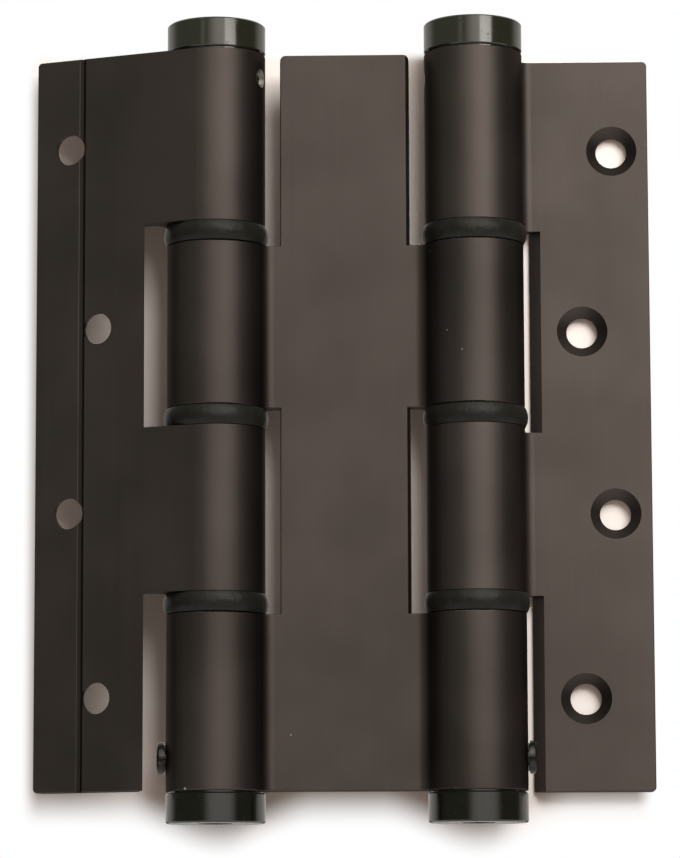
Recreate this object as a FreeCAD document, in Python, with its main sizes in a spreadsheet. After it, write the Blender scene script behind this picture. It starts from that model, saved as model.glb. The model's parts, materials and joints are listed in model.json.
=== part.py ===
import FreeCAD, Part
import math
import os
import re
import Sketcher

# Double action spring hinge: three extruded leaves that turn on two sprung barrels.
# The hinge stands upright. +Z runs along the barrels and the viewer stands on the -Y side.
# The origin is midway between the two barrel axes, at half height.
# Both outer leaves are the same extrusion, the left one turned half a turn about Z.

SIZES = {
    # Leaves: overall height, reach from the barrel axis to the free edge, metal thickness.
    "leaf_height": 180.0,
    "leaf_reach": 43.0,
    "leaf_thick": 4.0,
    "plate_thick": 4.0,
    "root_fillet": 3.2,
    "leaf_corner": 1.1,
    "leaf_edge": 0.3,
    "plate_corner": 1.4,
    # The left leaf leans back from the flat position by this many degrees.
    "left_lean": 21.0,
    # Barrels: distance between the axes, outside and bore, and the gap between knuckles.
    "axis_span": 63.0,
    "barrel_dia": 24.0,
    "bore_dia": 19.0,
    "knuckle_gap": 5.0,
    # Clearance cuts concentric with the barrels, as far beyond them as the neighbouring knuckles need.
    "leaf_clear": 6.2,
    "plate_clear": 3.8,
    # Broken front edge of the middle leaf beside the right barrel.
    "plate_break": 0.8,
    # Screw holes of the outer leaves: two columns, taken in turn down the leaf.
    "hole_pitch": 45.0,
    "hole_dia": 7.6,
    "sink_dia": 12.4,
    "near_column": 8.9,
    "far_column": 16.6,
    # Guide line for the drill on the back of each outer leaf.
    "groove_inset": 12.4,
    "groove_width": 1.7,
    "groove_depth": 0.7,
    # Bearing rings: a rounded collar between knuckles with a sleeve into each bore.
    "ring_bulge": 0.75,
    "ring_rim": 0.1,
    "ring_slack": 0.15,
    "sleeve_length": 8.0,
    "sleeve_bore": 16.4,
    "run_clear": 0.05,
    # End caps: head, seat line above the barrel, spigot.
    "cap_height": 7.6,
    "cap_edge": 0.35,
    "seat_line": 0.4,
    "seat_inset": 0.7,
    "spigot_length": 16.0,
    # Torsion springs: wire, mean coil diameter, turns, legs, and their nests in the spigots.
    "wire_dia": 2.5,
    "coil_dia": 12.2,
    "coil_turns": 16.0,
    "coil_clear": 0.4,
    "leg_length": 5.5,
    "leg_clear": 0.25,
    "nest_depth": 5.0,
    "nest_clear": 2.0,
    # Lock screws low on the outer sides, with the ring of tension holes that they enter.
    "lock_rise": 8.0,
    "lock_shank": 4.0,
    "lock_tip_clear": 0.4,
    "lock_head": 8.0,
    "lock_crown": 1.6,
    "lock_round": 0.7,
    "lock_collar": 6.8,
    "lock_standoff": 0.4,
    "lock_key": 2.5,
    "lock_key_depth": 1.0,
    "tension_holes": 6.0,
    "tension_depth": 4.4,
    "tension_key": 8.0,
    "tension_key_depth": 5.0,
    # Set screws high on the inner sides.
    "set_drop": 6.2,
    "set_dia": 4.0,
    "set_length": 4.6,
    "set_recess": 1.0,
    "set_key": 2.0,
    "set_key_depth": 1.6,
    "screw_clear": 0.1,
    # How far a cutting tool runs past the metal that it leaves.
    "cut_past": 1.0,
}

doc = FreeCAD.newDocument("double_action_hinge")
sheet = doc.addObject("Spreadsheet::Sheet", "Sizes")
for row, (alias, value) in enumerate(SIZES.items(), start=1):
    sheet.set(f"A{row}", alias)
    sheet.set(f"B{row}", str(value))
    sheet.setAlias(f"B{row}", alias)
doc.recompute()

WORD = re.compile(r"[a-z_]+")


def cells(text):
    """Turn size names in a formula into references to the sheet's cells."""
    return WORD.sub(lambda m: f"Sizes.{m[0]}" if m[0] in SIZES else m[0], text)


def value(text):
    """Work a formula out with the sheet's present sizes."""
    return float(sheet.evalExpression(cells(text)))


def bind(item, prop, text):
    item.setExpression(prop, cells(text))


def plane(body, role):
    for feature in body.Origin.OriginFeatures:
        if feature.Role == role:
            return feature
    raise RuntimeError(f"{body.Label} has no {role}")


def new_body(label):
    body = doc.addObject("PartDesign::Body", label)
    body.Label = label
    return body


def new_sketch(body, name, role="XY_Plane", level="0"):
    """A sketch on one of the body's own planes, raised to a level along its normal."""
    sketch = body.newObject("Sketcher::SketchObject", f"{body.Label}_{name}")
    sketch.AttachmentSupport = [(plane(body, role), "")]
    sketch.MapMode = "FlatFace"
    if level != "0":
        bind(sketch, "AttachmentOffset.Base.z", level)
    return sketch


def size(sketch, constraint, text):
    """Add a named dimension that follows the sheet."""
    index = sketch.addConstraint(constraint)
    name = f"size_{index}"
    sketch.renameConstraint(index, name)
    bind(sketch, f"Constraints.{name}", text)


def pin_point(sketch, curve, point, across, up):
    """Place one point of a curve by two formulas, measured from the sketch's origin."""
    for text, axis, kind in ((across, -2, "DistanceX"), (up, -1, "DistanceY")):
        if abs(value(text)) < 1e-9:
            sketch.addConstraint(Sketcher.Constraint("PointOnObject", curve, point, axis))
        else:
            size(sketch, Sketcher.Constraint(kind, -1, 1, curve, point, value(text)), text)


def draw_circle(sketch, across, up, diameter):
    centre = FreeCAD.Vector(value(across), value(up), 0)
    circle = Part.Circle(centre, FreeCAD.Vector(0, 0, 1), value(diameter) / 2)
    curve = sketch.addGeometry(circle, False)
    size(sketch, Sketcher.Constraint("Diameter", curve, value(diameter)), diameter)
    pin_point(sketch, curve, 3, across, up)
    return curve


def draw_outline(sketch, corners, bulges=None):
    """A closed outline through corners given as formulas.

    bulges maps a side's number to the radius of an arc that swells to the right of its travel.
    """
    bulges = bulges or {}
    points = [FreeCAD.Vector(value(across), value(up), 0) for across, up in corners]
    ends = []
    for side, start in enumerate(points):
        stop = points[(side + 1) % len(points)]
        if side in bulges:
            radius = value(bulges[side])
            half = (stop - start) / 2
            left = FreeCAD.Vector(-half.y, half.x, 0).normalize()
            centre = start + half + left * math.sqrt(radius**2 - half.Length**2)
            circle = Part.Circle(centre, FreeCAD.Vector(0, 0, 1), radius)
            first = math.atan2(start.y - centre.y, start.x - centre.x)
            last = math.atan2(stop.y - centre.y, stop.x - centre.x)
            curve = sketch.addGeometry(Part.ArcOfCircle(circle, first, last), False)
            size(sketch, Sketcher.Constraint("Radius", curve, radius), bulges[side])
        else:
            curve = sketch.addGeometry(Part.LineSegment(start, stop), False)
        ends.append(curve)
    for side, curve in enumerate(ends):
        following = ends[(side + 1) % len(ends)]
        sketch.addConstraint(Sketcher.Constraint("Coincident", curve, 2, following, 1))
        pin_point(sketch, curve, 1, *corners[side])


def draw_hexagon(sketch, across_flats):
    """A hexagon about the sketch's origin, with two of its flats upright."""
    reach = f"{across_flats} / 2"
    half = f"{across_flats} / 2 / sqrt(3)"
    tip = f"{across_flats} / sqrt(3)"
    draw_outline(
        sketch,
        [
            (reach, f"-{half}"),
            (reach, half),
            ("0", tip),
            (f"-{reach}", half),
            (f"-{reach}", f"-{half}"),
            ("0", f"-{tip}"),
        ],
    )


def pad(body, sketch, length):
    feature = body.newObject("PartDesign::Pad", f"{sketch.Name}_pad")
    feature.Profile = sketch
    bind(feature, "Length", length)
    doc.recompute()
    return feature


def pocket(body, sketch, length, forward=False):
    """Cut a sketch into the body, against its normal unless it is turned forward."""
    before = body.Shape.Volume
    feature = body.newObject("PartDesign::Pocket", f"{sketch.Name}_cut")
    feature.Profile = sketch
    feature.Reversed = forward
    bind(feature, "Length", length)
    doc.recompute()
    if body.Shape.Volume > before - 1e-6:
        raise RuntimeError(f"{feature.Name} removes no metal")
    return feature


def revolve(body, sketch):
    feature = body.newObject("PartDesign::Revolution", f"{sketch.Name}_turned")
    feature.Profile = sketch
    feature.ReferenceAxis = (sketch, ["V_Axis"])
    feature.Angle = 360.0
    doc.recompute()
    return feature


def round_edges(body, name, radius, chosen):
    """Round the edges of the body whose middle point is chosen."""
    base = body.Tip
    names = []
    for number, edge in enumerate(base.Shape.Edges, start=1):
        middle = edge.valueAt((edge.FirstParameter + edge.LastParameter) / 2)
        if chosen(middle):
            names.append(f"Edge{number}")
    if not names:
        raise RuntimeError(f"{body.Label} has no edge for {name}")
    feature = body.newObject("PartDesign::Fillet", f"{body.Label}_{name}")
    feature.Base = (base, names)
    bind(feature, "Radius", radius)
    doc.recompute()
    return feature


def near(a, b):
    return abs(a - b) < 1e-4


# Where each barrel stands, the turn about Z of what rides on its outer leaf,
# the way out from the hinge, and how far its leaf is short of flat.
BARRELS = {
    "left": {
        "at": "-axis_span / 2",
        "turn": "180 - left_lean",
        "outward": "180",
        "short": "left_lean",
    },
    "right": {
        "at": "axis_span / 2",
        "turn": "0",
        "outward": "0",
        "short": "0",
    },
}
Z_AXIS = FreeCAD.Vector(0, 0, 1)
Y_AXIS = FreeCAD.Vector(0, 1, 0)


def stand(body, barrel, level="0", turn="0"):
    """Set a body on a barrel's axis at a level, turned about Z."""
    body.Placement = FreeCAD.Placement(FreeCAD.Vector(), FreeCAD.Rotation(Z_AXIS, value(turn)))
    bind(body, "Placement.Base.x", BARRELS[barrel]["at"])
    if level != "0":
        bind(body, "Placement.Base.z", level)
    if turn != "0":
        bind(body, "Placement.Rotation.Angle", turn)


def point_outward(body, barrel, radius, level, turn):
    """Lay a screw along a radius of its barrel, with its head end pointing out."""
    angle = value(turn)
    lie = FreeCAD.Rotation(Y_AXIS, 90)
    turned = FreeCAD.Rotation(Z_AXIS, angle).multiply(lie)
    body.Placement = FreeCAD.Placement(FreeCAD.Vector(), turned)
    bind(body, "Placement.Base.x", f"{BARRELS[barrel]['at']} + ({radius}) * cos({turn})")
    bind(body, "Placement.Base.y", f"({radius}) * sin({turn})")
    bind(body, "Placement.Base.z", level)


# Levels of the knuckle ends, from the centre of the hinge: each barrel has four knuckles.
TOP = "leaf_height / 2"
PITCH = "leaf_height / 4"
UPPER_TOP = f"{PITCH} + knuckle_gap / 2"
UPPER_BOTTOM = f"{PITCH} - knuckle_gap / 2"
MIDDLE_TOP = "knuckle_gap / 2"
BARREL_R = "barrel_dia / 2"
WALL = "(barrel_dia - bore_dia) / 2"


def leaf_profile(body):
    """Section of an outer leaf: barrel, plate tangent to it, root fillet, drill line."""
    sketch = new_sketch(body, "profile", level=f"-{TOP}")
    barrel = value(BARREL_R)
    fillet = value("root_fillet")
    reach = value("leaf_reach")
    front = barrel - value("leaf_thick")
    groove = reach - value("groove_inset")
    half_groove = value("groove_width") / 2
    floor = barrel - value("groove_depth")
    fillet_x = math.sqrt((barrel + fillet) ** 2 - (front - fillet) ** 2)
    meet = math.atan2(front - fillet, fillet_x)
    up = FreeCAD.Vector(0, 0, 1)
    corners = [
        FreeCAD.Vector(0, barrel, 0),
        FreeCAD.Vector(groove - half_groove, barrel, 0),
        FreeCAD.Vector(groove, floor, 0),
        FreeCAD.Vector(groove + half_groove, barrel, 0),
        FreeCAD.Vector(reach, barrel, 0),
        FreeCAD.Vector(reach, front, 0),
        FreeCAD.Vector(fillet_x, front, 0),
    ]
    round_barrel = Part.Circle(FreeCAD.Vector(), up, barrel)
    barrel_arc = Part.ArcOfCircle(round_barrel, math.pi / 2, meet + 2 * math.pi)
    arc = sketch.addGeometry(barrel_arc, False)
    inner, down, rise, outer, edge, face = [
        sketch.addGeometry(Part.LineSegment(a, b), False) for a, b in zip(corners, corners[1:])
    ]
    round_root = Part.Circle(FreeCAD.Vector(fillet_x, front - fillet, 0), up, fillet)
    root_arc = Part.ArcOfCircle(round_root, math.pi / 2, meet + math.pi)
    root = sketch.addGeometry(root_arc, False)
    rule = Sketcher.Constraint
    sketch.addConstraint(rule("Coincident", arc, 3, -1, 1))
    sketch.addConstraint(rule("Tangent", arc, 1, inner, 1))
    for before, after in ((inner, down), (down, rise), (rise, outer), (outer, edge), (edge, face)):
        sketch.addConstraint(rule("Coincident", before, 2, after, 1))
    sketch.addConstraint(rule("Tangent", face, 2, root, 1))
    sketch.addConstraint(rule("Tangent", root, 2, arc, 2))
    for line in (inner, outer, face):
        sketch.addConstraint(rule("Horizontal", line))
    sketch.addConstraint(rule("Vertical", edge))
    sketch.addConstraint(rule("Horizontal", inner, 2, outer, 1))
    size(sketch, rule("Radius", arc, barrel), BARREL_R)
    size(sketch, rule("Radius", root, fillet), "root_fillet")
    size(sketch, rule("DistanceX", -1, 1, edge, 1, reach), "leaf_reach")
    size(sketch, rule("DistanceY", edge, 2, edge, 1, barrel - front), "leaf_thick")
    size(sketch, rule("DistanceX", -1, 1, down, 2, groove), "leaf_reach - groove_inset")
    size(sketch, rule("DistanceX", down, 1, down, 2, half_groove), "groove_width / 2")
    size(sketch, rule("DistanceX", rise, 1, rise, 2, half_groove), "groove_width / 2")
    size(sketch, rule("DistanceY", down, 2, down, 1, barrel - floor), "groove_depth")
    return sketch


def screw_holes(body):
    """Countersunk holes in zigzag down the leaf, sunk from the face away from the wood."""
    sketch = new_sketch(body, "holes", "XZ_Plane", f"leaf_thick - {BARREL_R}")
    columns = ("near_column", "far_column", "near_column", "far_column")
    steps = ("1.5", "0.5", "-0.5", "-1.5")
    for column, step in zip(columns, steps):
        draw_circle(sketch, f"leaf_reach - {column}", f"hole_pitch * {step}", "hole_dia")
    doc.recompute()
    hole = body.newObject("PartDesign::Hole", f"{body.Label}_screw_holes")
    hole.Profile = sketch
    hole.DepthType = "ThroughAll"
    hole.HoleCutType = "Countersink"
    bind(hole, "Diameter", "hole_dia")
    bind(hole, "HoleCutDiameter", "sink_dia")
    hole.HoleCutCountersinkAngle = 90.0
    doc.recompute()


def outer_leaf(side):
    """One outer leaf: first and third knuckles, plate, screw holes, set screw hole."""
    body = new_body(f"{side}_leaf")
    pad(body, leaf_profile(body), "leaf_height")
    bore = new_sketch(body, "bore", level=TOP)
    draw_circle(bore, "0", "0", "bore_dia")
    pocket(body, bore, "leaf_height")
    for name, level, length in (
        ("second_notch", UPPER_TOP, f"{PITCH} + knuckle_gap"),
        ("fourth_notch", f"-({UPPER_BOTTOM})", f"{TOP} + cut_past"),
    ):
        notch = new_sketch(body, name, level=level)
        draw_circle(notch, "0", "0", "barrel_dia + leaf_clear * 2")
        pocket(body, notch, length)
    screw_holes(body)
    entry = new_sketch(body, "set_hole", "YZ_Plane", f"-({BARREL_R} + cut_past)")
    draw_circle(entry, "0", f"{TOP} - set_drop", "set_dia + screw_clear * 2")
    pocket(body, entry, f"{WALL} + cut_past * 2", forward=True)
    reach = value("leaf_reach")
    end = value(TOP)

    def at_free_corner(point):
        return near(point.x, reach) and near(abs(point.z), end)

    round_edges(body, "corners", "leaf_corner", at_free_corner)
    bore_radius = value("bore_dia") / 2
    groove = reach - value("groove_inset")
    half_groove = value("groove_width") / 2
    corner = value("leaf_corner")

    def on_rim(point):
        on_bore = near(math.hypot(point.x, point.y), bore_radius)
        in_groove = abs(point.x - groove) < half_groove
        at_end = near(abs(point.z), end)
        at_corner = point.x > reach - corner and abs(point.z) > end - corner
        at_edge = at_end or at_corner or near(point.x, reach)
        return at_edge and not on_bore and not in_groove

    round_edges(body, "rim", "leaf_edge", on_rim)
    stand(body, side, turn=BARRELS[side]["turn"])
    return body


def centre_leaf():
    """Middle leaf: second and fourth knuckles on both sides of one plate."""
    body = new_body("centre_leaf")
    half_span = "axis_span / 2"
    barrels = new_sketch(body, "barrels", level=f"-{TOP}")
    for sign in ("-", ""):
        draw_circle(barrels, sign + half_span, "0", "barrel_dia")
    pad(body, barrels, "leaf_height")
    plate = new_sketch(body, "plate", level=f"-{TOP}")
    half_plate = "plate_thick / 2"
    draw_outline(
        plate,
        [
            (f"-{half_span}", f"-{half_plate}"),
            (half_span, f"-{half_plate}"),
            (half_span, half_plate),
            (f"-{half_span}", half_plate),
        ],
    )
    pad(body, plate, "leaf_height")
    seam = value(half_span) - math.sqrt(value(BARREL_R) ** 2 - value(half_plate) ** 2)
    thick = value(half_plate)

    def at_root(point):
        return near(abs(point.x), seam) and near(abs(point.y), thick) and near(point.z, 0)

    round_edges(body, "roots", "root_fillet", at_root)
    bores = new_sketch(body, "bores", level=TOP)
    for sign in ("-", ""):
        draw_circle(bores, sign + half_span, "0", "bore_dia")
    pocket(body, bores, "leaf_height")
    cuts = (
        ("first", f"{TOP} + cut_past", f"{TOP} + cut_past - ({UPPER_BOTTOM})"),
        ("third", MIDDLE_TOP, f"{PITCH} + knuckle_gap"),
    )
    for name, level, length in cuts:
        notch = new_sketch(body, f"{name}_notch", level=level)
        for sign in ("-", ""):
            draw_circle(notch, sign + half_span, "0", "barrel_dia + plate_clear * 2")
        pocket(body, notch, length)
    tool = f"axis_span / 2 + {BARREL_R} + cut_past"
    for name, level, forward in (("left_lock", f"-({tool})", True), ("right_lock", tool, False)):
        entry = new_sketch(body, name, "YZ_Plane", level)
        draw_circle(entry, "0", f"lock_rise - {TOP}", "lock_shank + screw_clear * 2")
        pocket(body, entry, f"{WALL} + cut_past * 2", forward=forward)
    end = value(TOP)
    notch_edge = f"({half_span} - {BARREL_R} - plate_clear)"
    inner = value(notch_edge)

    def at_top_corner(point):
        return near(point.z, end) and abs(abs(point.x) - inner) < thick

    round_edges(body, "corners", "plate_corner", at_top_corner)
    front = f"-({half_plate} - plate_break)"
    past_front = f"-({half_plate} + cut_past)"
    for name, level, length in cuts:
        bevel = new_sketch(body, f"{name}_break", level=level)
        draw_outline(
            bevel,
            [
                (f"{notch_edge} - plate_break - cut_past", past_front),
                (f"{notch_edge} + plate_break + cut_past", past_front),
                (f"{notch_edge} + cut_past", front),
                (notch_edge, front),
            ],
        )
        pocket(body, bevel, length)
    axis = value(half_span)
    bore_radius = value("bore_dia") / 2

    def on_rim(point):
        on_bore = near(math.hypot(abs(point.x) - axis, point.y), bore_radius)
        at_end = near(abs(point.z), end)
        on_plate = near(abs(point.y), thick) and abs(point.x) < inner + thick
        return (at_end or on_plate) and not on_bore

    round_edges(body, "rim", "leaf_edge", on_rim)
    return body


def bearing_ring(side, name, level):
    """Plastic ring between two knuckles: a rounded collar and a sleeve into each bore."""
    body = new_body(f"{side}_ring_{name}")
    sketch = new_sketch(body, "profile", "XZ_Plane")
    half = "(knuckle_gap / 2 - ring_slack)"
    end = f"({half} + ring_slack + sleeve_length)"
    rim = f"({BARREL_R} + ring_rim)"
    inside = "sleeve_bore / 2"
    sleeve = "(bore_dia / 2 - run_clear)"
    swell = "(ring_bulge - ring_rim)"
    bulge = f"({half} ^ 2 + {swell} ^ 2) / (2 * {swell})"
    draw_outline(
        sketch,
        [
            (inside, f"-{end}"),
            (sleeve, f"-{end}"),
            (sleeve, f"-{half}"),
            (rim, f"-{half}"),
            (rim, half),
            (sleeve, half),
            (sleeve, end),
            (inside, end),
        ],
        bulges={3: bulge},
    )
    revolve(body, sketch)
    stand(body, side, level)
    return body


def cap_blank(label, leg_at, forward):
    """Turned cap with its seat at the origin: head above, spigot below.

    The spigot is hollowed at its end for the coil, and slotted for the leg that leaves it.
    """
    body = new_body(label)
    sketch = new_sketch(body, "profile", "XZ_Plane")
    spigot = "(bore_dia / 2 - run_clear)"
    nest = "((coil_dia + wire_dia) / 2 + coil_clear)"
    draw_outline(
        sketch,
        [
            ("0", "nest_depth - spigot_length"),
            (nest, "nest_depth - spigot_length"),
            (nest, "-spigot_length"),
            (spigot, "-spigot_length"),
            (spigot, "0"),
            (f"{BARREL_R} - seat_inset", "0"),
            (f"{BARREL_R} - seat_inset", "seat_line"),
            (f"{BARREL_R} - cap_edge", "seat_line"),
            (BARREL_R, "seat_line + cap_edge"),
            (BARREL_R, "cap_height - cap_edge"),
            (f"{BARREL_R} - cap_edge", "cap_height"),
            ("0", "cap_height"),
        ],
    )
    revolve(body, sketch)
    slot = new_sketch(body, "leg_slot", "YZ_Plane")
    half = "(wire_dia / 2 + leg_clear)"
    low, high = "-(spigot_length + cut_past)", "nest_depth - spigot_length"
    near_side, far_side = f"{leg_at} - {half}", f"{leg_at} + {half}"
    draw_outline(slot, [(near_side, low), (far_side, low), (far_side, high), (near_side, high)])
    pocket(body, slot, "bore_dia / 2", forward=forward)
    return body


def top_cap(side):
    """Cap of the outer leaf's first knuckle, held by the set screw."""
    body = cap_blank(f"{side}_top_cap", "coil_dia / 2", False)
    entry = new_sketch(body, "set_hole", "YZ_Plane", f"-({BARREL_R})")
    draw_circle(entry, "0", "-set_drop", "set_dia + screw_clear * 2")
    pocket(body, entry, "set_recess + set_length + screw_clear", forward=True)
    stand(body, side, TOP, BARRELS[side]["turn"])
    return body


def tension_cap(side):
    """Cap of the centre leaf's last knuckle: tension holes in its spigot, key socket below."""
    body = cap_blank(f"{side}_tension_cap", "-coil_dia / 2", True)
    entry = new_sketch(body, "tension_hole", "YZ_Plane", BARREL_R)
    draw_circle(entry, "0", "-lock_rise", "lock_shank + screw_clear * 2")
    first = pocket(body, entry, f"{WALL} + tension_depth")
    ring = body.newObject("PartDesign::PolarPattern", f"{body.Label}_tension_ring")
    ring.Originals = [first]
    ring.Axis = (body.Group[0], ["V_Axis"])
    ring.Angle = 360.0
    bind(ring, "Occurrences", "tension_holes")
    body.Tip = ring
    doc.recompute()
    socket = new_sketch(body, "key_socket", level="cap_height")
    draw_hexagon(socket, "tension_key")
    pocket(body, socket, "tension_key_depth")
    turned = FreeCAD.Rotation(Z_AXIS, value(BARRELS[side]["outward"]))
    over = FreeCAD.Rotation(FreeCAD.Vector(1, 0, 0), 180)
    body.Placement = FreeCAD.Placement(FreeCAD.Vector(), turned.multiply(over))
    bind(body, "Placement.Base.x", BARRELS[side]["at"])
    bind(body, "Placement.Base.z", f"-{TOP}")
    return body


def lock_screw(side):
    """Low headed screw with a collar that keeps a tension cap from turning back."""
    body = new_body(f"{side}_lock_screw")
    sketch = new_sketch(body, "profile", "XZ_Plane")
    shank = "lock_shank / 2"
    head = "lock_head / 2"
    collar = "lock_collar / 2"
    seat = "(run_clear - lock_standoff)"
    tip = f"-(lock_standoff + {WALL} + tension_depth - lock_tip_clear)"
    draw_outline(
        sketch,
        [
            ("0", tip),
            (shank, tip),
            (shank, seat),
            (collar, seat),
            (collar, "0"),
            (head, "0"),
            (head, "lock_crown - lock_round"),
            (f"{head} - lock_round", "lock_crown"),
            ("0", "lock_crown"),
        ],
        bulges={6: "lock_round"},
    )
    revolve(body, sketch)
    socket = new_sketch(body, "key_socket", level="lock_crown")
    draw_hexagon(socket, "lock_key")
    pocket(body, socket, "lock_key_depth")
    point_outward(
        body,
        side,
        f"{BARREL_R} + lock_standoff",
        f"lock_rise - {TOP}",
        BARRELS[side]["outward"],
    )
    return body


def set_screw(side):
    """Headless screw sunk in the inner side of the first knuckle."""
    body = new_body(f"{side}_set_screw")
    shank = new_sketch(body, "shank", level="-set_length")
    draw_circle(shank, "0", "0", "set_dia")
    pad(body, shank, "set_length")
    socket = new_sketch(body, "key_socket")
    draw_hexagon(socket, "set_key")
    pocket(body, socket, "set_key_depth")
    inward = f"({BARRELS[side]['turn']} + 180)"
    point_outward(body, side, f"{BARREL_R} - set_recess", f"{TOP} - set_drop", inward)
    return body


def torsion_spring(side):
    """Coil inside the barrel, with a straight leg at each end that runs out through a cap's slot.

    The upper leg follows the top cap, so the coil of the leaning leaf stops short of full turns.
    """
    body = doc.addObject("Part::Feature", f"{side}_spring")
    end = f"({TOP} - spigot_length + nest_depth - nest_clear - wire_dia / 2)"
    height = 2 * value(end)
    turns = value(f"coil_turns - {BARRELS[side]['short']} / 360")
    coil = Part.makeHelix(height / turns, height, value("coil_dia") / 2).Edges[0]
    start, stop = coil.FirstParameter, coil.LastParameter
    leg_length = value("leg_length")
    foot = coil.valueAt(start) - coil.tangentAt(start) * leg_length
    tip = coil.valueAt(stop) + coil.tangentAt(stop) * leg_length
    lower_leg = Part.makeLine(foot, coil.valueAt(start))
    upper_leg = Part.makeLine(coil.valueAt(stop), tip)
    path = Part.Wire([lower_leg, coil, upper_leg])
    section = Part.Wire(Part.makeCircle(value("wire_dia") / 2, foot, coil.tangentAt(start)))
    body.Shape = path.makePipeShell([section], True, False)
    stand(body, side, f"-{end}", f"{BARRELS[side]['outward']} + 90")
    return body


pieces = [centre_leaf()]
for barrel in BARRELS:
    pieces.append(outer_leaf(barrel))
    pieces.append(top_cap(barrel))
    pieces.append(tension_cap(barrel))
    pieces.append(lock_screw(barrel))
    pieces.append(set_screw(barrel))
    pieces.append(torsion_spring(barrel))
    for place, height in (("upper", PITCH), ("middle", "0"), ("lower", f"-{PITCH}")):
        pieces.append(bearing_ring(barrel, place, height))
doc.recompute()

for item in doc.Objects:
    if "Invalid" in item.State or "Error" in item.State:
        raise RuntimeError(f"{item.Label} did not build: {item.State}")
for piece in pieces:
    if piece.Shape.isNull() or not piece.Shape.isValid() or len(piece.Shape.Solids) != 1:
        raise RuntimeError(f"{piece.Label} is not one sound solid")

os.makedirs("parts", exist_ok=True)
for piece in pieces:
    piece.Shape.exportStep(os.path.join("parts", f"{piece.Label}.step"))
    box = piece.Shape.BoundBox
    print(f"{piece.Label}: {piece.Shape.Volume:.1f} mm3, x {box.XMin:.2f} to {box.XMax:.2f}, "
          f"y {box.YMin:.2f} to {box.YMax:.2f}, z {box.ZMin:.2f} to {box.ZMax:.2f}")
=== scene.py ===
# %% [markdown]
# # A double action spring hinge
# Three leaves of dark bronze aluminium turn on two sprung barrels. The solids come from the imported CAD
# model, in metres, and stay where it put them. This lesson gives every piece its finish, puts welded copies
# in place of the springs, stands the hinge before a white card and lights it with two soft lamps.

# %% Load the imported hinge
import json
import math
from functools import partial

import bmesh
import bpy
from mathutils import Matrix, Vector


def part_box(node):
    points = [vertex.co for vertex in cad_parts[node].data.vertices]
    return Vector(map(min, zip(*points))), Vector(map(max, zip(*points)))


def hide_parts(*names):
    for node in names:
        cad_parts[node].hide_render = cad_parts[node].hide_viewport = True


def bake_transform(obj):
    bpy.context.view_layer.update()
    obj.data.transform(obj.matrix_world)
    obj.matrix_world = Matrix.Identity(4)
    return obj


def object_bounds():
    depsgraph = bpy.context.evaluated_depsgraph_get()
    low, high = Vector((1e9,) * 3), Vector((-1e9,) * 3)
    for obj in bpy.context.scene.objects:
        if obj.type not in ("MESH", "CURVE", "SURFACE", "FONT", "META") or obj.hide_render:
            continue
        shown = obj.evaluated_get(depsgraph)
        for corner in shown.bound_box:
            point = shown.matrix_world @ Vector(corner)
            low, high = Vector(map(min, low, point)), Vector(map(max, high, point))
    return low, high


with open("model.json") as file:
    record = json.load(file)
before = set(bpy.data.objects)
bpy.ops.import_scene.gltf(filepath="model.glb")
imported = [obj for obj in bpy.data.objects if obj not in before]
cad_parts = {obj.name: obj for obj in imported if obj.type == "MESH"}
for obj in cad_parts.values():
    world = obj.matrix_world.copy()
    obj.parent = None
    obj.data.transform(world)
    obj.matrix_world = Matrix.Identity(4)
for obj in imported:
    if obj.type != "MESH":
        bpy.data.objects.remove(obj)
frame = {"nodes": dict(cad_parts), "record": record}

CAD_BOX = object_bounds()
LOW, HIGH = CAD_BOX
MM = 0.001
SIDES = ("left", "right")
scene = bpy.context.scene
scene.view_settings.view_transform = "Standard"
wide, deep, tall = HIGH - LOW
print(f"{len(frame['nodes'])} nodes, {wide:.4f} by {deep:.4f} by {tall:.4f} m")

# %% [markdown]
# ## Camera
# The picture was taken with a long lens from a little lower than the hinge's foot. A camera could be
# placed by eye, but here its place and turns were worked out from the corners of the leaves and caps, so
# the render lies over the picture edge for edge. The focal length is written in pixels of the picture and
# turned into millimetres by the sensor's long side, which is the picture's height.

# %% Camera
PICTURE_HEIGHT = 858
FOCAL_PIXELS = 3824.0
SENSOR_MM = 36.0
CAMERA_PLACE = Vector((21.7, -918.8, -129.7)) * MM
CAMERA_LEVEL = 90.0
CAMERA_TILT, CAMERA_ROLL, CAMERA_TURN = 7.888, 0.184, 1.465

camera_data = bpy.data.cameras.new("camera")
camera_data.sensor_width = SENSOR_MM
camera_data.lens = FOCAL_PIXELS / PICTURE_HEIGHT * SENSOR_MM
camera = bpy.data.objects.new("camera", camera_data)
camera.location = CAMERA_PLACE
camera_turns = (CAMERA_LEVEL + CAMERA_TILT, CAMERA_ROLL, CAMERA_TURN)
camera.rotation_euler = [math.radians(turn) for turn in camera_turns]
scene.collection.objects.link(camera)
scene.camera = camera
print(f"lens {camera_data.lens:.1f} mm, {CAMERA_PLACE.length:.3f} m from the middle of the hinge")

# %% [markdown]
# ## Sums in a node tree
# Finishes are node trees, and wiring them by hand hides the sums that they work out. A small class that
# stands for one output socket lets those sums be written as plain Python: each operator adds a Math node.
# Every other node comes from one method, which takes the node's kind, its settings and its sockets.

# %% Signals and graphs
class Signal:
    """One output of a node. An operator on signals adds the Math node that works it out."""

    def __init__(self, graph, socket):
        self.graph = graph
        self.socket = socket

    def math(self, operation, *values):
        return self.graph.add("ShaderNodeMath", {"operation": operation}, dict(enumerate(values)))

    def __add__(self, other):
        return self.math("ADD", self, other)

    def __sub__(self, other):
        return self.math("SUBTRACT", self, other)

    def __rsub__(self, other):
        return self.math("SUBTRACT", other, self)

    def __mul__(self, other):
        return self.math("MULTIPLY", self, other)

    def __abs__(self):
        return self.math("ABSOLUTE", self)

    __radd__ = __add__
    __rmul__ = __mul__


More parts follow.
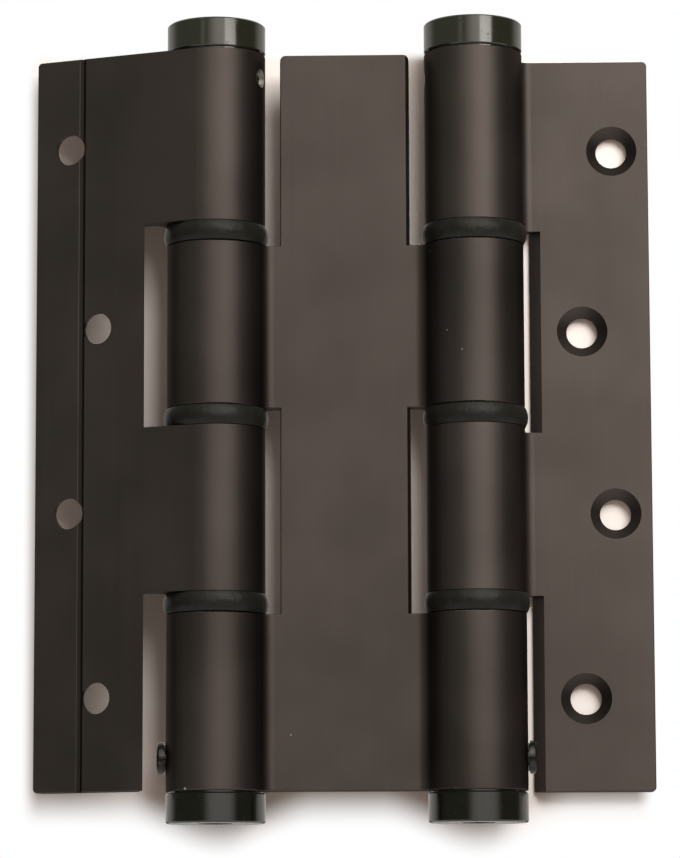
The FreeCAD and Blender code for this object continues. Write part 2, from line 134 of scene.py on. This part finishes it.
class Graph:
    """The node tree of a material or world, emptied, with one method that adds any node."""

    def __init__(self, owner):
        owner.use_nodes = True
        self.tree = owner.node_tree
        self.tree.nodes.clear()

    def add(self, kind, settings=None, sockets=None, output=0):
        node = self.tree.nodes.new(kind)
        for name, setting in (settings or {}).items():
            setattr(node, name, setting)
        for key, value in (sockets or {}).items():
            if isinstance(value, Signal):
                self.tree.links.new(value.socket, node.inputs[key])
            else:
                node.inputs[key].default_value = value
        return Signal(self, node.outputs[output]) if node.outputs else None


# %% [markdown]
# ## Tools for finishes
# A few steps come back in every finish: a colour between two others, a soft step up or down, cloudy noise,
# one coordinate of a vector. Each gets a short function. Noise is plain, soft or rich, by its layers of
# detail. A Mix node keeps its sockets for numbers, vectors and colours side by side, so those for colours
# go by number.

# %% Tools for finishes
MIX_FACTOR, MIX_FIRST, MIX_SECOND, MIX_RESULT = 0, 6, 7, 2
PLAIN, SOFT, RICH = 1.0, 2.0, 3.0


def colour(red, green, blue):
    return (red, green, blue, 1.0)


def mix(graph, factor, first, second):
    """A colour between two others."""
    sockets = {MIX_FACTOR: factor, MIX_FIRST: first, MIX_SECOND: second}
    return graph.add("ShaderNodeMix", {"data_type": "RGBA"}, sockets, MIX_RESULT)


def rise_over(graph, value, start, stop, low=0.0, high=1.0):
    """A soft step: low below start, high above stop."""
    settings = {"interpolation_type": "SMOOTHSTEP"}
    return graph.add("ShaderNodeMapRange", settings, dict(enumerate((value, start, stop, low, high))))


def fall_over(graph, value, start, stop):
    """A soft step down: 1 below start, 0 above stop."""
    return rise_over(graph, value, start, stop, low=1.0, high=0.0)


def noise(graph, place, per_metre, detail=SOFT):
    """Cloudy noise from about 0 to 1, with this many clouds to the metre."""
    sockets = {"Vector": place, "Scale": per_metre, "Detail": detail}
    return graph.add("ShaderNodeTexNoise", sockets=sockets)


def coordinate(graph, vector, axis):
    return graph.add("ShaderNodeSeparateXYZ", sockets={"Vector": vector}, output=axis)


def vector_sum(graph, operation, *vectors):
    """The number that Vector Math works out, such as a length, a distance or a dot product."""
    sockets = dict(enumerate(vectors))
    return graph.add("ShaderNodeVectorMath", {"operation": operation}, sockets, "Value")


def mix_shaders(graph, factor, first, second):
    return graph.add("ShaderNodeMixShader", sockets=dict(enumerate((factor, first, second))))


def finish(name, paint):
    """A new material. paint adds its nodes and returns the settings of its shader's sockets."""
    material = bpy.data.materials.new(name)
    graph = Graph(material)
    place = graph.add("ShaderNodeTexCoord", output="Object")
    shader = graph.add("ShaderNodeBsdfPrincipled", sockets=paint(graph, place))
    graph.add("ShaderNodeOutputMaterial", sockets={"Surface": shader})
    print(f"{name}: {len(graph.tree.nodes)} nodes")
    return material


# %% [markdown]
# ## Where the barrels stand
# Several patterns follow a barrel, a screw or a fixing face. Their places could be written down again, but
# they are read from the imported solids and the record, so that they stay true to the CAD model.

# %% Where the barrels stand
MOUNTS = {mount["name"]: mount for mount in frame["record"]["mounts"]}


def middle(node):
    low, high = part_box(node)
    return (low + high) / 2


def axis_of(side):
    """Where the barrel of one side stands."""
    return middle(f"{side}_top_cap").x


cap_low, cap_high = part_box("right_top_cap")
BARREL_RADIUS = (cap_high - cap_low).x / 2
print({side: round(axis_of(side), 4) for side in SIDES}, f"barrel radius {BARREL_RADIUS:.4f} m")

# %% [markdown]
# ## Bare metal in the drilled holes
# The holes for the set screws are drilled after the dye, so their walls are bare metal. Each wall could be
# a material slot of its own, but the solids stay as they are. So a mask is drawn from the hole's own axis,
# which a Mapping node turns into the X axis of the pattern, and it ends at the barrel's skin.

# %% Bare metal in the drilled holes
BARE_METAL = colour(0.62, 0.60, 0.57)
BARE_REACH, BARE_EDGE = 2.2 * MM, 2.4 * MM
ACROSS_X = (0, 1, 1)


def bare_hole(graph, place, side):
    """A mask of the drilled wall round one set screw."""
    screw = middle(f"{side}_set_screw")
    start = Vector((axis_of(side), 0, screw.z))
    along = screw - start
    frame_of_hole = {"Vector": place, "Location": start, "Rotation": (0, 0, math.atan2(along.y, along.x))}
    local = graph.add("ShaderNodeMapping", {"vector_type": "TEXTURE"}, frame_of_hole)
    depth = coordinate(graph, local, "X")
    across = graph.add("ShaderNodeMapping", sockets={"Vector": local, "Scale": ACROSS_X})
    inside = fall_over(graph, vector_sum(graph, "LENGTH", across), BARE_REACH, BARE_EDGE)
    past_axis = rise_over(graph, depth, 0.0, along.length / 2)
    in_barrel = fall_over(graph, depth, BARREL_RADIUS, BARREL_RADIUS + BARE_REACH)
    return inside * past_axis * in_barrel


print({side: [round(v, 4) for v in middle(f"{side}_set_screw")] for side in SIDES})

# %% [markdown]
# ## Painted shade in the drill lines
# A small V cut runs down the fixing face of each outer leaf, to guide a drill. It is cut in the solid, and
# its colour is darkened there as painted shade, so that it shows as a dark line. The mask of that painted
# shade is drawn from the middle of the fixing face, with the pattern's X axis pointing out of it.

# %% Painted shade in the drill lines
# painted shade: the dark colour laid into the V cut of each outer leaf
GROOVE_SHADE = colour(0.010, 0.010, 0.009)
LINE_PLACE, LINE_HALF, LINE_DEPTH = 5.4 * MM, 0.85 * MM, 0.7 * MM
LINE_CORE = 0.8 * LINE_HALF


def drill_line_shade(graph, place, side):
    """A mask of the V cut down the fixing face of one outer leaf, where shade is painted."""
    face = MOUNTS[f"{side}_leaf_back"]
    turn = math.atan2(face["axis"][1], face["axis"][0])
    frame_of_face = {"Vector": place, "Location": face["pos_m"], "Rotation": (0, 0, turn)}
    local = graph.add("ShaderNodeMapping", {"vector_type": "TEXTURE"}, frame_of_face)
    depth = abs(coordinate(graph, local, "X"))
    across = abs(coordinate(graph, local, "Y") - LINE_PLACE)
    beside = fall_over(graph, across, LINE_CORE, LINE_HALF)
    return beside * fall_over(graph, depth, LINE_DEPTH, 2 * LINE_DEPTH)


print({side: MOUNTS[f"{side}_leaf_back"]["pos_m"] for side in SIDES})

# %% [markdown]
# ## Specks of dust and a painted glint
# A few pale specks lie on the leaves in the picture. They could be modelled, but they are as small as grains
# of sand, so they are painted: each is a soft spot round its own place on the surface. The largest, at the
# foot of the left barrel, is a painted highlight that stands in for a glint.

# %% Specks of dust and a painted glint
DUST_AND_GLINT = colour(0.55, 0.52, 0.48)
DUST_AND_GLINT_CORE = 0.6
DUST_AND_GLINT_SPECKS = [
    (Vector((20.70, -5.22, 40.41)) * MM, 0.22 * MM),
    (Vector((24.67, -9.86, 20.19)) * MM, 0.20 * MM),
    (Vector((28.23, -11.55, 15.26)) * MM, 0.18 * MM),
    (Vector((-13.35, -2.00, -76.53)) * MM, 0.20 * MM),
    # painted highlight: a pale spot for a glint at the foot of the left barrel
    (Vector((-38.23, -9.94, -89.60)) * MM, 0.40 * MM),
]


def dust_and_glint_speck(graph, place, centre, radius):
    apart = vector_sum(graph, "DISTANCE", place, centre)
    return fall_over(graph, apart, DUST_AND_GLINT_CORE * radius, radius)


print(f"{len(DUST_AND_GLINT_SPECKS)} specks")

# %% [markdown]
# ## Satin bronze leaves
# The leaves are pushed through a die, etched and dyed dark bronze. The die leaves faint lines along Z, the
# dye takes a little more in some patches than in others, and the etch leaves a fine grain. A photo of the
# metal could be wrapped round them, but noise has no seams and no fixed size: stretched noise draws the
# lines, large soft noise the patches and small noise the grain. Lines and grain also go to bump, so that
# they catch the light as the real ones do. Each leaf's bronze is then scaled as painted light: the right
# leaf lighter and the middle one a little darker, for light that falls unevenly across them.

# %% Satin bronze
BRONZE_DARK = colour(0.080, 0.067, 0.062)
BRONZE_LIGHT = colour(0.106, 0.089, 0.083)
# painted light: each leaf's bronze is scaled lighter or darker for the light that falls on it
LEAF_PAINTED_LIGHT = {"left_leaf": 1.0, "centre_leaf": 0.97, "right_leaf": 1.15}
LINE_STRETCH = (1, 1, 0.012)
LINES_PER_METRE, PATCHES_PER_METRE, GRAIN_PER_METRE = 850.0, 42.0, 3200.0
LINES_IN_DYE, LINES_IN_BUMP = 0.2, 0.2
DYE_START, DYE_STOP = 0.3, 0.9
GROOVE_SHADE_COVER = 0.75
BRONZE_ROUGH, LINE_ROUGH, PATCH_ROUGH, GROOVE_SHADE_ROUGH = 0.42, 0.04, 0.06, 0.15
BRONZE_BUMP = {"Strength": 0.35, "Distance": 0.02 * MM}
GRAZING_TINT = colour(0.35, 0.35, 0.35)


def shade(tint, painted_light):
    """The same tint, lighter or darker, for the painted light on each leaf."""
    return colour(*(channel * painted_light for channel in tint[:3]))


def bronze(graph, place, painted_light):
    lengthwise = graph.add("ShaderNodeMapping", sockets={"Vector": place, "Scale": LINE_STRETCH})
    lines = noise(graph, lengthwise, LINES_PER_METRE, RICH)
    patches = noise(graph, place, PATCHES_PER_METRE)
    grain = noise(graph, place, GRAIN_PER_METRE, PLAIN)
    uptake = rise_over(graph, patches + lines * LINES_IN_DYE, DYE_START, DYE_STOP)
    dye = mix(graph, uptake, shade(BRONZE_DARK, painted_light), shade(BRONZE_LIGHT, painted_light))
    # painted shade in the V cuts of both outer leaves
    groove_shade = sum(drill_line_shade(graph, place, side) for side in SIDES)
    bare = sum(bare_hole(graph, place, side) for side in SIDES)
    # pale specks of dust, and one painted highlight on the left barrel
    dust_and_glint = sum(dust_and_glint_speck(graph, place, *speck) for speck in DUST_AND_GLINT_SPECKS)
    metal = mix(graph, bare, mix(graph, groove_shade * GROOVE_SHADE_COVER, dye, GROOVE_SHADE), BARE_METAL)
    bump = BRONZE_BUMP | {"Height": lines * LINES_IN_BUMP + grain}
    return {
        "Base Color": mix(graph, dust_and_glint, metal, DUST_AND_GLINT),
        "Metallic": 1.0 - dust_and_glint,
        "Roughness": BRONZE_ROUGH + lines * LINE_ROUGH + patches * PATCH_ROUGH + groove_shade * GROOVE_SHADE_ROUGH,
        "Specular Tint": GRAZING_TINT,
        "Normal": graph.add("ShaderNodeBump", sockets=bump),
    }


# lit and shaded copies of one bronze, one for each leaf
leaf_finishes = {}
for leaf, painted_light in LEAF_PAINTED_LIGHT.items():
    leaf_finishes[leaf] = finish(f"{leaf}_bronze", partial(bronze, painted_light=painted_light))

# %% [markdown]
# ## Polished caps
# The end caps are turned on a lathe, dyed almost black and sealed, so they shine more than the leaves and
# keep faint rings from the tool and small scuffs from handling. The tension caps below get darker tints as
# painted shade, for the dimmer light low down. Turning marks run round the axis, so the pattern reads only
# the distance from the barrel's axis and the height. A Mapping node moves it to the cap's own axis, which is
# why each cap has a material of its own.

# %% Polished caps
CAP_DARK = colour(0.015, 0.016, 0.009)
CAP_LIGHT = colour(0.024, 0.025, 0.015)
# painted shade: the tension caps below are tinted darker for the dimmer light low down
TENSION_CAP_SHADED_DARK = colour(0.006, 0.0065, 0.004)
TENSION_CAP_SHADED_LIGHT = colour(0.012, 0.0125, 0.008)
ACROSS_Z = (1, 1, 0)
RINGS_PER_METRE, HAZE_PER_METRE, SCUFFS_PER_METRE = 2600.0, 260.0, 900.0
SCUFF_START, SCUFF_STOP = 0.58, 0.75
CAP_ROUGH, HAZE_ROUGH, RING_ROUGH, SCUFF_ROUGH = 0.09, 0.06, 0.05, 0.20
CAP_GLOSS = 0.85
CAP_BUMP = {"Strength": 0.12, "Distance": 0.01 * MM}


def turned(graph, place, axis_x, per_metre):
    """Noise that changes with height and with distance from an upright axis, but not around it."""
    centred = {"Vector": place, "Location": (-axis_x, 0, 0), "Scale": ACROSS_Z}
    radius = vector_sum(graph, "LENGTH", graph.add("ShaderNodeMapping", sockets=centred))
    height = coordinate(graph, place, "Z")
    section = graph.add("ShaderNodeCombineXYZ", sockets={"X": radius, "Y": height})
    return noise(graph, section, per_metre)


def cap(graph, place, axis_x, dark, light):
    rings = turned(graph, place, axis_x, RINGS_PER_METRE)
    haze = noise(graph, place, HAZE_PER_METRE)
    scuffs = rise_over(graph, noise(graph, place, SCUFFS_PER_METRE, RICH), SCUFF_START, SCUFF_STOP)
    bump = CAP_BUMP | {"Height": rings}
    return {
        "Base Color": mix(graph, haze, dark, light),
        "Roughness": CAP_ROUGH + haze * HAZE_ROUGH + rings * RING_ROUGH + scuffs * SCUFF_ROUGH,
        "Specular IOR Level": CAP_GLOSS,
        "Normal": graph.add("ShaderNodeBump", sockets=bump),
    }


CAP_TINTS = {"top_cap": (CAP_DARK, CAP_LIGHT), "tension_cap": (TENSION_CAP_SHADED_DARK, TENSION_CAP_SHADED_LIGHT)}
cap_finishes = {}
for side in SIDES:
    for kind, (dark, light) in CAP_TINTS.items():
        paint = partial(cap, axis_x=axis_of(side), dark=dark, light=light)
        cap_finishes[f"{side}_{kind}"] = finish(f"{side}_{kind}", paint)

# %% [markdown]
# ## Black bearing rings
# The rings between the knuckles are moulded in black plastic. They are a little glossy, cloudy from
# handling and slightly uneven, as small mouldings are. The unevenness could be modelled, but it is far
# smaller than the ring: soft noise on roughness gives the clouds, and a wider noise on bump breaks up the
# light on their rims.

# %% Black bearing rings
PLASTIC_DARK = colour(0.010, 0.010, 0.008)
PLASTIC_LIGHT = colour(0.018, 0.018, 0.014)
CLOUDS_PER_METRE, FLOW_PER_METRE, MOULD_GRAIN_PER_METRE = 320.0, 420.0, 2400.0
GRAIN_IN_BUMP = 0.08
PLASTIC_ROUGH, CLOUD_ROUGH = 0.36, 0.14
PLASTIC_GLOSS = 0.3
PLASTIC_BUMP = {"Strength": 1.0, "Distance": 0.25 * MM}


def plastic(graph, place):
    cloud = noise(graph, place, CLOUDS_PER_METRE)
    grain = noise(graph, place, MOULD_GRAIN_PER_METRE, PLAIN)
    flow = noise(graph, place, FLOW_PER_METRE)
    bump = PLASTIC_BUMP | {"Height": flow + grain * GRAIN_IN_BUMP}
    return {
        "Base Color": mix(graph, cloud, PLASTIC_DARK, PLASTIC_LIGHT),
        "Roughness": PLASTIC_ROUGH + cloud * CLOUD_ROUGH,
        "Specular IOR Level": PLASTIC_GLOSS,
        "Normal": graph.add("ShaderNodeBump", sockets=bump),
    }


black_plastic = finish("black_plastic", plastic)

# %% [markdown]
# ## Blackened lock screws
# The lock screws are steel with a black oxide skin. Black paint would be the simple way to show it, but the
# skin is a metal finish, thin enough to wear a little browner in spots. So two dark tones are mixed by
# noise over a shader that is mostly metallic.

# %% Blackened lock screws
OXIDE_DARK = colour(0.030, 0.029, 0.027)
OXIDE_WORN = colour(0.075, 0.068, 0.060)
WEAR_PER_METRE = 700.0
WEAR_START, WEAR_STOP = 0.4, 0.75
OXIDE_METAL = 0.8
OXIDE_ROUGH, WEAR_ROUGH = 0.20, 0.12
OXIDE_BUMP = {"Strength": 0.2, "Distance": 0.01 * MM}


def oxide(graph, place):
    wear = noise(graph, place, WEAR_PER_METRE, RICH)
    bump = OXIDE_BUMP | {"Height": wear}
    return {
        "Base Color": mix(graph, rise_over(graph, wear, WEAR_START, WEAR_STOP), OXIDE_DARK, OXIDE_WORN),
        "Metallic": OXIDE_METAL,
        "Roughness": OXIDE_ROUGH + wear * WEAR_ROUGH,
        "Normal": graph.add("ShaderNodeBump", sockets=bump),
    }


black_oxide = finish("black_oxide", oxide)

# %% [markdown]
# ## Bright steel inside
# Springs and set screws are bare steel with a trace of oil. Drawing leaves the wire finely marked, too fine
# to model, so a small noise changes its roughness and a wide one its grey.

# %% Bright steel
STEEL_DARK = colour(0.36, 0.36, 0.35)
STEEL_LIGHT = colour(0.50, 0.50, 0.48)
MARKS_PER_METRE, OIL_PER_METRE = 1500.0, 180.0
STEEL_ROUGH, MARK_ROUGH = 0.22, 0.14


def steel(graph, place):
    marks = noise(graph, place, MARKS_PER_METRE, RICH)
    oil = noise(graph, place, OIL_PER_METRE)
    return {
        "Base Color": mix(graph, oil, STEEL_DARK, STEEL_LIGHT),
        "Metallic": 1.0,
        "Roughness": STEEL_ROUGH + marks * MARK_ROUGH,
    }


bright_steel = finish("bright_steel", steel)

# %% [markdown]
# ## Hand the finishes out
# Leaves and caps have finishes of their own, by name. For the other pieces the ending of the name says what
# the piece is, so it chooses the finish. The solids keep their shape and place, and only their material
# slot changes.

# %% Hand the finishes out
FINISH_OF = {
    "lock_screw": black_oxide,
    "set_screw": bright_steel,
    "spring": bright_steel,
    "ring_upper": black_plastic,
    "ring_middle": black_plastic,
    "ring_lower": black_plastic,
}
own_finishes = leaf_finishes | cap_finishes
for node_name, node in frame["nodes"].items():
    kind = node_name.split("_", 1)[1]
    node.material_slots[0].material = own_finishes.get(node_name) or FINISH_OF[kind]
print({name: node.material_slots[0].material.name for name, node in frame["nodes"].items()})

# %% [markdown]
# ## Welded copies of the springs
# A torsion spring is held at both ends: its foot in the tension cap, which stays with the middle leaf, and
# its head in the top cap, which swings with an outer leaf. A stiff spring would tear out of one of them. Here
# the solid is copied, its loose triangles are welded and its faces shaded smooth, and the copy takes the
# place of the solid, which is hidden.

# %% Welded copies of the springs
WELD = 0.001 * MM


def winding_spring(side):
    """A welded, smooth copy of one spring, in place of its hidden solid."""
    solid = f"{side}_spring"
    shape = bmesh.new()
    shape.from_mesh(frame["nodes"][solid].data)
    bmesh.ops.remove_doubles(shape, verts=shape.verts, dist=WELD)
    for face in shape.faces:
        face.smooth = True
    mesh = bpy.data.meshes.new(f"{side}_winding_spring")
    shape.to_mesh(mesh)
    shape.free()
    mesh.materials.append(bright_steel)
    spring = bpy.data.objects.new(mesh.name, mesh)
    scene.collection.objects.link(spring)
    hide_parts(solid)
    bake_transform(spring)


for side in SIDES:
    winding_spring(side)

# %% [markdown]
# ## White card and floor
# In the picture the hinge lies on white, with a soft warm shadow close to it. A card stands just behind the
# hinge and a floor lies just below it. Both are plain grids that only the camera sees, from their outer
# side, so neither hides the hinge from behind or below. Their paper is brighter than white: lit paper clips
# to plain white, and only the shadows show. Away from the hinge both melt into the white world.

# %% White card and floor
CARD_GAP = 0.2 * MM
CARD_HALF = 0.5
CARD_PAPER = colour(1.50, 1.43, 1.39)
FLOOR_PAPER = colour(2.4, 2.55, 2.7)
FLOOR_CORE, FLOOR_RIM = 0.09, 0.20
SIDE_FADE, TOP_FADE, BOTTOM_FADE, CAP_FADE = 5.0 * MM, 3.0 * MM, 11.0 * MM, 12.0 * MM
LEFT_MARGIN, TOP_MARGIN, BOTTOM_MARGIN = -0.8 * MM, 1.5 * MM, -2.5 * MM
LEAF_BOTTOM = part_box("centre_leaf")[0].z
UPRIGHT = Matrix.Rotation(math.radians(90), 4, "X")


def behind_hinge(graph, place):
    """A mask that fades out a little way beyond the hinge's sides, top and bottom."""
    across = coordinate(graph, place, "X")
    up = coordinate(graph, place, "Z")
    from_barrel = abs(abs(across) - axis_of("right"))
    under_cap = fall_over(graph, from_barrel, 0.0, BARREL_RADIUS + CAP_FADE)
    bottom = LEAF_BOTTOM + under_cap * (LOW.z - LEAF_BOTTOM)
    left = LOW.x - LEFT_MARGIN
    top = TOP_MARGIN - LEAF_BOTTOM
    on_left = rise_over(graph, across, left - SIDE_FADE, left)
    on_right = fall_over(graph, across, HIGH.x - SIDE_FADE, HIGH.x)
    below = fall_over(graph, bottom - up, BOTTOM_MARGIN, BOTTOM_MARGIN + BOTTOM_FADE)
    above = fall_over(graph, up, top, top + TOP_FADE)
    return on_left * on_right * below * above


def under_hinge(graph, place):
    """A mask that fades out all round the foot of the hinge."""
    flat = graph.add("ShaderNodeMapping", sockets={"Vector": place, "Scale": ACROSS_Z})
    return fall_over(graph, vector_sum(graph, "LENGTH", flat), FLOOR_CORE, FLOOR_RIM)


def card_finish(name, tint, near):
    """Paper where the mask near is 1, white light where it is 0, and clear from the other side."""
    material = bpy.data.materials.new(name)
    graph = Graph(material)
    place = graph.add("ShaderNodeTexCoord", output="Object")
    paper = graph.add("ShaderNodeBsdfDiffuse", sockets={"Color": tint})
    white = graph.add("ShaderNodeEmission", sockets={"Strength": 1.0})
    front = mix_shaders(graph, near(graph, place), white, paper)
    behind = graph.add("ShaderNodeNewGeometry", output="Backfacing")
    clear = graph.add("ShaderNodeBsdfTransparent")
    graph.add("ShaderNodeOutputMaterial", sockets={"Surface": mix_shaders(graph, behind, front, clear)})
    return material


def card(name, matrix, material):
    shape = bmesh.new()
    bmesh.ops.create_grid(shape, x_segments=1, y_segments=1, size=CARD_HALF, matrix=matrix)
    mesh = bpy.data.meshes.new(name)
    shape.to_mesh(mesh)
    shape.free()
    mesh.materials.append(material)
    sheet = bpy.data.objects.new(name, mesh)
    scene.collection.objects.link(sheet)
    sheet.visible_diffuse = False
    sheet.visible_glossy = False
    sheet.visible_shadow = False


card_place = Matrix.Translation((0, HIGH.y + CARD_GAP, 0)) @ UPRIGHT
card("backdrop", card_place, card_finish("white_card", CARD_PAPER, behind_hinge))
card("floor", Matrix.Translation((0, 0, LOW.z)), card_finish("white_floor", FLOOR_PAPER, under_hinge))
print(f"card at y {HIGH.y + CARD_GAP:.4f} m, floor at z {LOW.z:.4f} m")

# %% [markdown]
# ## Studio
# The camera sees a white world at strength 1. Metal mirrors what stands round it, and that isn't even: a
# dim room, darker on the right and low down, with a glow above and in front, a low band of sheen, a small
# window on the left, pale paper behind and a pale floor. A picture of a room could be wrapped round the
# hinge, but this lesson uses no images, so soft masks draw each of them by its direction. The world asks
# which kind of ray looks at it. Rays that scatter from a matt surface see an even warm grey, the fill light
# of the studio. The limits of the masks are parts of a direction of length 1, and the patches are in degrees.

# %% Studio
WHITE = colour(1, 1, 1)
FILL = colour(0.235, 0.19, 0.162)
ROOM_LEFT = colour(0.25, 0.268, 0.218)
ROOM_RIGHT = colour(0.065, 0.063, 0.052)
ROOM_LOW = colour(0.055, 0.058, 0.045)
GLOW = colour(2.55, 2.39, 2.24)
SHEEN = colour(1.03, 0.98, 0.90)
SHEEN_HEIGHT, SHEEN_CORE, SHEEN_RIM = 0.035, 0.04, 0.10
WINDOW = colour(0.75, 0.74, 0.72)
BACK = colour(0.70, 0.67, 0.63)
FLOOR_LIGHT = colour(0.78, 0.75, 0.71)
LEFT_END, RIGHT_END = -0.2, 0.9
LOW_END, HIGH_END = -0.03, 0.25
BACK_START, BACK_FULL = 0.15, 0.6
BACK_FOOT, BACK_TOP = -0.15, 0.0
FLOOR_FULL, FLOOR_END = -0.44, -0.18


def heading(turn, rise):
    """The direction so many degrees to the right of the viewer's side, and so many up."""
    turn, rise = math.radians(turn), math.radians(rise)
    return Vector((math.sin(turn) * math.cos(rise), -math.cos(turn) * math.cos(rise), math.sin(rise)))


world = bpy.data.worlds.new("studio")
scene.world = world
graph = Graph(world)
direction = graph.add("ShaderNodeTexCoord", output="Generated")
sideways = coordinate(graph, direction, "X")
backward = coordinate(graph, direction, "Y")
upward = coordinate(graph, direction, "Z")


def patch(turn, rise, core, rim):
    """A mask round one heading: 1 within the core angle, 0 beyond the rim angle."""
    nearness = vector_sum(graph, "DOT_PRODUCT", direction, heading(turn, rise))
    return rise_over(graph, nearness, math.cos(math.radians(rim)), math.cos(math.radians(core)))


room = mix(graph, rise_over(graph, sideways, LEFT_END, RIGHT_END), ROOM_LEFT, ROOM_RIGHT)
room = mix(graph, rise_over(graph, upward, LOW_END, HIGH_END), ROOM_LOW, room)
room = mix(graph, patch(turn=15, rise=37, core=10, rim=40), room, GLOW)
in_band = fall_over(graph, abs(upward - SHEEN_HEIGHT), SHEEN_CORE, SHEEN_RIM)
room = mix(graph, patch(turn=14, rise=2, core=14, rim=42) * in_band, room, SHEEN)
room = mix(graph, patch(turn=-29, rise=14, core=1, rim=6), room, WINDOW)
behind = rise_over(graph, backward, BACK_START, BACK_FULL) * rise_over(graph, upward, BACK_FOOT, BACK_TOP)
room = mix(graph, behind, room, BACK)
room = mix(graph, fall_over(graph, upward, FLOOR_FULL, FLOOR_END), room, FLOOR_LIGHT)
is_camera = graph.add("ShaderNodeLightPath", output="Is Camera Ray")
is_glossy = graph.add("ShaderNodeLightPath", output="Is Glossy Ray")
is_through = graph.add("ShaderNodeLightPath", output="Is Transmission Ray")
light = mix(graph, is_camera + is_through, mix(graph, is_glossy, FILL, room), WHITE)
sky = graph.add("ShaderNodeBackground", sockets={"Color": light, "Strength": 1.0})
graph.add("ShaderNodeOutputWorld", sockets={"Surface": sky})
print(f"studio: {len(graph.tree.nodes)} nodes")

# %% [markdown]
# ## Two lamps
# A soft box stands to the right, above and in front. Metal mirrors it: it is the bright streak on the caps
# and a part of the softer one on the barrels. The top light is larger and stands near it. It gives the card
# and the floor the shadow close to the hinge. One lamp could do both, but then neither could be set without
# the other, so metal doesn't mirror the top light. The power of each follows from the brightness of its
# face: a flat lamp gives off pi times its area times that brightness.

# %% Two lamps
LAMP_TINT = (1.0, 0.96, 0.91)


def soft_light(name, turn, rise, away, wide, tall, brightness):
    """A flat lamp that looks at the middle of the hinge, in degrees, metres and brightness."""
    data = bpy.data.lights.new(name, "AREA")
    data.shape = "RECTANGLE"
    data.size, data.size_y = wide, tall
    data.energy = math.pi * wide * tall * brightness
    data.color = LAMP_TINT
    lamp = bpy.data.objects.new(name, data)
    towards = heading(turn, rise)
    lamp.location = towards * away
    lamp.rotation_euler = towards.to_track_quat("Z", "Y").to_euler()
    lamp.visible_camera = False
    scene.collection.objects.link(lamp)
    print(f"{name}: {data.energy:.2f} W at {tuple(round(v, 3) for v in lamp.location)}")
    return lamp


soft_light("soft_box", turn=33.0, rise=21.0, away=0.58, wide=0.255, tall=0.06, brightness=5.2)
top_light = soft_light("top_light", turn=27.0, rise=30.0, away=0.60, wide=0.42, tall=0.38, brightness=5.0)
top_light.visible_glossy = False
